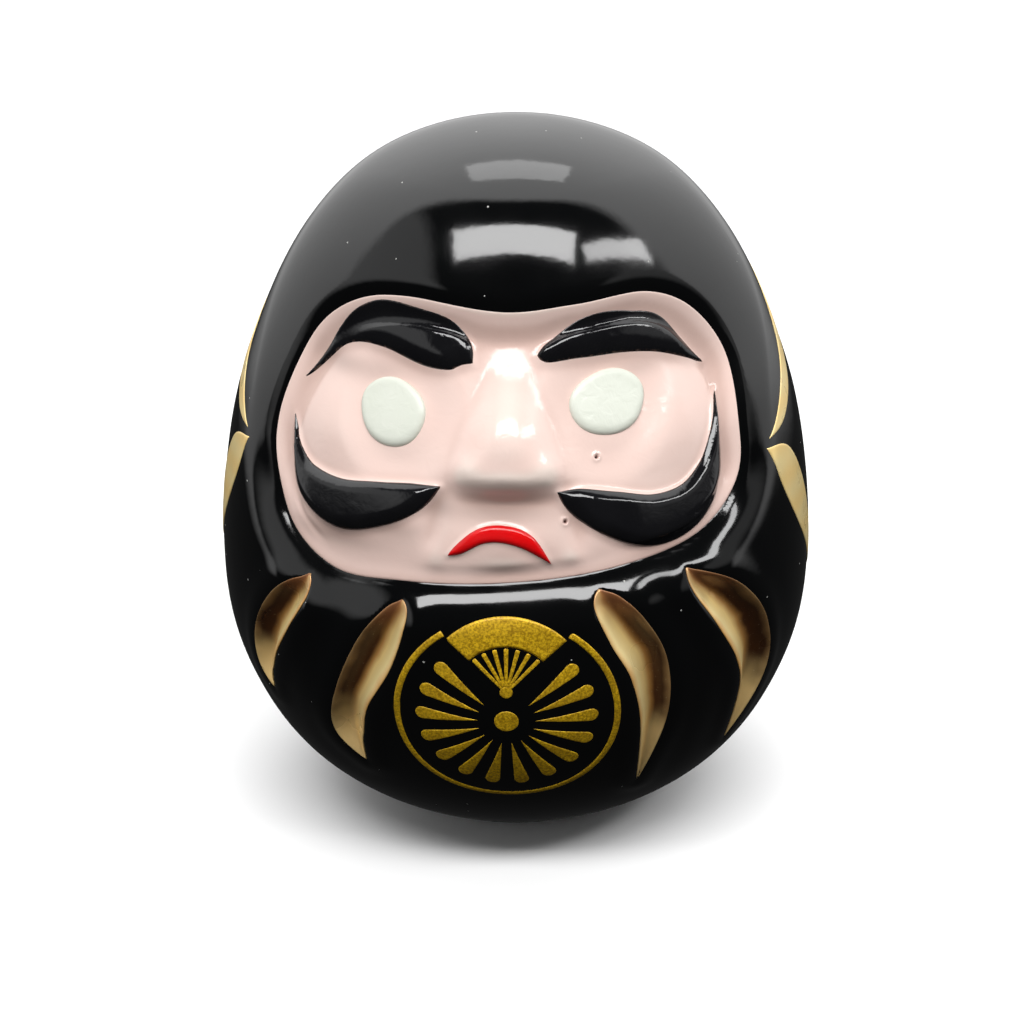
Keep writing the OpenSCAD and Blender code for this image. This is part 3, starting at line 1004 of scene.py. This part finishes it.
def flat_blank(name, outline):
    """A closed flat blank of transfer, whose points know how high they stand over the casting."""
    uv, tris = fill(outline, 0.22, 0.1)
    d = distance(uv[:, 0], uv[:, 1], outline)[0]
    heights = np.concatenate([TRANSFER_T * rounded(d, 0.12), np.full(len(uv), -PAINT_ROOT)]) * MM
    points = np.hstack([np.vstack([uv, uv]) * MM, np.zeros((2 * len(uv), 1))])
    made = mesh_object(name, points, slab_faces(tris, len(uv)), transfer)
    add_attribute(made, "height", heights)
    add_to_layer(made, rim=d)
    return made


def wrapped(name, blank, tree, body, centre, count, first, step, open_above):
    """The blank's copies as one plain mesh, with every angle in degrees."""
    probe = 0.5
    u = np.array([centre[0], centre[0] + probe, centre[0]])
    v = np.array([centre[1], centre[1], centre[1] + probe])
    middle, right, up = (Vector(p) for p in place(u, v, relief(u, v)))
    right = (right - middle).normalized()
    outward = right.cross(up - middle).normalized()
    up = outward.cross(right)
    facing = Matrix((right, up, outward)).transposed().to_euler()
    modifier = blank.modifiers.new("wrap", "NODES")
    modifier.node_group = tree.tree
    settings = {
        "Count": count, "First Angle": math.radians(first), "Step": math.radians(step),
        "Open Above": math.radians(open_above), "Centre": middle + outward * 0.006, "Facing": facing,
        "Outward": outward, "Body": body, "Material": transfer}
    for key, value in settings.items():
        modifier[tree.ids[key]] = value
    evaluated = blank.evaluated_get(bpy.context.evaluated_depsgraph_get())
    mesh = bpy.data.meshes.new_from_object(evaluated)
    blank.modifiers.clear()
    bpy.data.objects.remove(blank)
    made = bpy.data.objects.new(name, mesh)
    bpy.context.scene.collection.objects.link(made)
    return made


def crest_petals(tree, body):
    """Drop-shaped petals all round the centre, but for the gap in which the fan stands."""
    tip = arc(PETAL_TIP_R, -96, 96, 13) + (PETAL_REACH - PETAL_TIP_R, 0)
    blank = flat_blank("petal_blank", np.vstack([[(PETAL_ROOT, 0)], tip]))
    return wrapped("crest_petal_ring", blank, tree, body, CREST, PETALS, 0, 360 / PETALS, PETAL_GAP_HALF)


def crest_fan(tree, body):
    """A folding fan: its leaf, its ribs and the rivet that they turn on."""
    start, stop = 90 - FAN_HALF, 90 + FAN_HALF
    pivot = np.array([0, FAN_PIVOT])
    near, far = (crest_loop(arc(r, start, stop, 60) + pivot) for r in LEAF_R)
    leaf = strip("fan_leaf", far, near, 14, transfer)
    rib = np.array([(0.5, -0.13), (4.5, -0.22), (4.5, 0.22), (0.5, 0.13)])
    step = (stop - start - 2 * RIB_MARGIN) / (RIBS - 1)
    ribs = wrapped("fan_ribs", flat_blank("rib_blank", rib), tree, body, tuple(CREST + pivot), RIBS,
                   start + RIB_MARGIN, step, 0)
    turn = np.arange(28) * 2 * math.pi / 28
    rivet, _ = painted("fan_rivet", crest_loop(0.62 * np.stack([np.cos(turn), np.sin(turn)], -1) + pivot),
                       0, TRANSFER_T, 0.12, 0.2, transfer)
    return joined("crest_folding_fan", [leaf, ribs, rivet])


# ---- The stopper ----

def lathe(name, section, material, steps=96):
    """A closed solid turned from a section that starts and ends on the axis."""
    turn = np.arange(steps) * 2 * math.pi / steps
    ends = [p for p in section if p[0] == 0]
    body = [p for p in section if p[0] > 0]
    points = np.vstack([ring_points(r, z, turn) for r, z in body]
                       + [np.array([[0, 0, ends[0][1] * MM]]), np.array([[0, 0, ends[1][1] * MM]])])
    return mesh_object(name, points, turned_faces(len(body), steps), material)


def stopper():
    low, high = plug_low[2] / MM, plug_high[2] / MM
    flange = (plug_high[0] - plug_low[0]) / 2 / MM
    shaft = DRAIN_R - 0.06
    section = [
        (0, high), (shaft - 1.0, high), (shaft - 0.5, high - 0.12), (shaft - 0.15, high - 0.5),
        (shaft, high - 1.0), (shaft, FOOT_RECESS + 0.1), (shaft + 0.1, FOOT_RECESS - 0.06),
        (flange - 0.3, FOOT_RECESS - 0.06), (flange - 0.08, FOOT_RECESS - 0.14),
        (flange, FOOT_RECESS - 0.35), (flange, low + 0.4), (flange - 0.1, low + 0.15),
        (flange - 0.4, low), (4.4, low), (4.2, low + 0.12),
        (3.9, low + 0.12), (3.7, low), (2.9, low), (2.6, low + 0.1), (2.4, low + 0.42), (0, low + 0.5),
    ]
    return lathe("soft_base_stopper", section, rubber)


# ---- Everything in its place ----

def wear(piece, body, slot, *nodes):
    """Each piece rides on its body and stands in for its nodes; slot is not used."""
    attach(piece, body)
    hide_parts(*nodes)


body = casting()
wear(body, "doll", "black_glaze", "body_shell")
wear(face_layer(), "doll", "pink_enamel", "face_enamel")
wear(eye("eye_dot_left", EYE_LEFT, EYE_LEFT_RADII), "doll", "white_enamel", "eye_left")
wear(eye("eye_dot_right", EYE_RIGHT, EYE_RIGHT_RADII), "doll", "white_enamel", "eye_right")

for side, brow, moustache in (("left", BROW_LEFT, MOUSTACHE_LEFT), ("right", BROW_RIGHT, MOUSTACHE_RIGHT)):
    made, _ = painted(f"brow_stroke_{side}", brushed(brow), PINK_T, BLACK_T, 0.4, 0.25, black)
    wear(made, "doll", "black_enamel", f"brow_{side}")
    made, _ = painted(f"moustache_stroke_{side}", brushed(moustache), PINK_T, BLACK_T, 0.4, 0.25, black)
    wear(made, "doll", "black_enamel", f"moustache_{side}")

made, _ = painted("lip_stroke", lip_loop, PINK_T, RED_T, 0.35, 0.2, red)
wear(made, "doll", "red_enamel", "lip_red")

for where, fold in FOLDS.items():
    wear(fold_gold(f"fold_lustre_{where}", fold), "doll", "gold_lustre", f"fold_gold_{where}")

for level, stroke in STROKES.items():
    for name, sign in (("left", -1), ("right", 1)):
        made = side_stroke(f"stroke_{level}_{name}", stroke, sign)
        wear(made, "doll", "gold_lustre", f"side_stroke_{level}_{name}")

wear(crest_ring(), "doll", "gold_transfer", "crest_ring")
wrap = wrapped_round()
wear(crest_petals(wrap, body), "doll", "gold_transfer", "crest_petals")
wear(crest_dot(), "doll", "gold_transfer", "crest_centre")
wear(crest_fan(wrap, body), "doll", "gold_transfer", "crest_fan")
wear(stopper(), "stopper", "soft_stopper", "base_plug")


# ---- Floor, light and camera ----

CANOPY = 2.35
LEFT_WALL = 0.9
RIGHT_WALL = 0.5
DARK = 0.03


def floor():
    size = 6.0
    made = mesh_object("floor", [(-size, -size, 0), (size, -size, 0), (size, size, 0), (-size, size, 0)],
                       [(0, 1, 2, 3)], pale_floor())
    made.visible_glossy = False
    made.visible_diffuse = False


def pale_floor():
    p = Paint("pale_floor")
    cloud = p.noise(0.004, 2)
    return p.finish(Base_Color=p.mix(cloud, (0.9, 0.9, 0.9), (0.93, 0.93, 0.93)), Roughness=0.9)


def band(tree, value, low, high):
    """A soft step from 0 at low to 1 at high."""
    step = tree.nodes.new("ShaderNodeMapRange")
    step.interpolation_type = "SMOOTHSTEP"
    tree.links.new(value, step.inputs["Value"])
    step.inputs["From Min"].default_value, step.inputs["From Max"].default_value = low, high
    return step.outputs[0]


def maths(tree, operation, *values):
    made = tree.nodes.new("ShaderNodeMath")
    made.operation = operation
    for socket, value in zip(made.inputs, values):
        if isinstance(value, float):
            socket.default_value = value
        else:
            tree.links.new(value, socket)
    return made.outputs[0]


def surroundings(tree):
    """A white canopy overhead and behind, a paler wall on each side, and dark where the camera stands."""
    way = tree.nodes.new("ShaderNodeTexCoord")
    part = tree.nodes.new("ShaderNodeSeparateXYZ")
    tree.links.new(way.outputs["Generated"], part.inputs[0])
    x, y, z = part.outputs
    above = band(tree, z, -0.02, 0.3)
    behind = maths(tree, "MULTIPLY", band(tree, y, -0.06, 0.1), band(tree, z, -0.26, 0.0))
    higher = maths(tree, "MULTIPLY_ADD", band(tree, z, 0.0, 0.85), 0.55, 0.45)
    total = maths(tree, "MULTIPLY", maths(tree, "MULTIPLY", behind, higher), CANOPY)
    for near, far, strength in ((-0.6, -0.72, LEFT_WALL), (0.78, 0.86, RIGHT_WALL)):
        wall = maths(tree, "MULTIPLY", maths(tree, "MULTIPLY", band(tree, x, near, far), above), strength)
        total = maths(tree, "MAXIMUM", total, wall)
    return maths(tree, "MAXIMUM", total, DARK)


def studio():
    """The surroundings as the glaze mirrors them, and a plain white backdrop for the camera."""
    world = bpy.data.worlds.new("studio")
    bpy.context.scene.world = world
    world.use_nodes = True
    tree = world.node_tree
    tree.nodes.clear()
    seen = tree.nodes.new("ShaderNodeLightPath").outputs["Is Camera Ray"]
    back = tree.nodes.new("ShaderNodeBackground")
    tree.links.new(maths(tree, "MAXIMUM", surroundings(tree), seen), back.inputs["Strength"])
    output = tree.nodes.new("ShaderNodeOutputWorld")
    tree.links.new(back.outputs[0], output.inputs["Surface"])


def direction(azimuth, tilt):
    """From the doll towards an azimuth (0 is the front) and a height over the floor, in radians."""
    flat = math.cos(tilt)
    return Vector((math.sin(azimuth) * flat, -math.cos(azimuth) * flat, math.sin(tilt)))


def softbox(name, azimuth, tilt, away, size, radiance, lean=0, mirrored=True, aim=(0, 0, 0.038)):
    """An area light aimed at the doll and turned about its own middle; not every one is mirrored."""
    light = bpy.data.lights.new(name, "AREA")
    light.shape = "RECTANGLE"
    light.size, light.size_y = size
    light.energy = radiance * math.pi * size[0] * size[1]
    made = bpy.data.objects.new(name, light)
    made.visible_glossy = mirrored
    way = direction(math.radians(azimuth), math.radians(tilt))
    made.location = Vector(aim) + way * away
    facing = (-way).to_track_quat("-Z", "Y") @ Quaternion((0, 0, 1), math.radians(lean))
    made.rotation_euler = facing.to_euler()
    bpy.context.scene.collection.objects.link(made)


def camera():
    """Three degrees to the side, twenty degrees above, at arm's length."""
    azimuth, tilt, away = math.radians(3), math.radians(20), 0.28
    target = Vector((0, 0, 0.034))
    lens = bpy.data.cameras.new("camera")
    lens.sensor_width = 36
    lens.lens = 95.66
    lens.shift_x, lens.shift_y = -0.0039, -0.0394
    lens.clip_start = 0.01
    made = bpy.data.objects.new("camera", lens)
    way = direction(azimuth, tilt)
    made.location = target + way * away
    made.rotation_euler = (-way).to_track_quat("-Z", "Y").to_euler()
    bpy.context.scene.collection.objects.link(made)
    bpy.context.scene.camera = made


floor()
studio()
softbox("key", 1, 56.5, 0.5, (0.58, 0.14), 11.5)
softbox("window", 72, 38, 0.5, (0.28, 0.06), 10, lean=-22)
softbox("fill", -30, 5, 0.5, (0.5, 0.4), 0.85, mirrored=False)
softbox("overhead", 2, 117, 0.7, (0.32, 0.16), 2.2)
camera()
bpy.context.scene.view_settings.view_transform = "Standard"
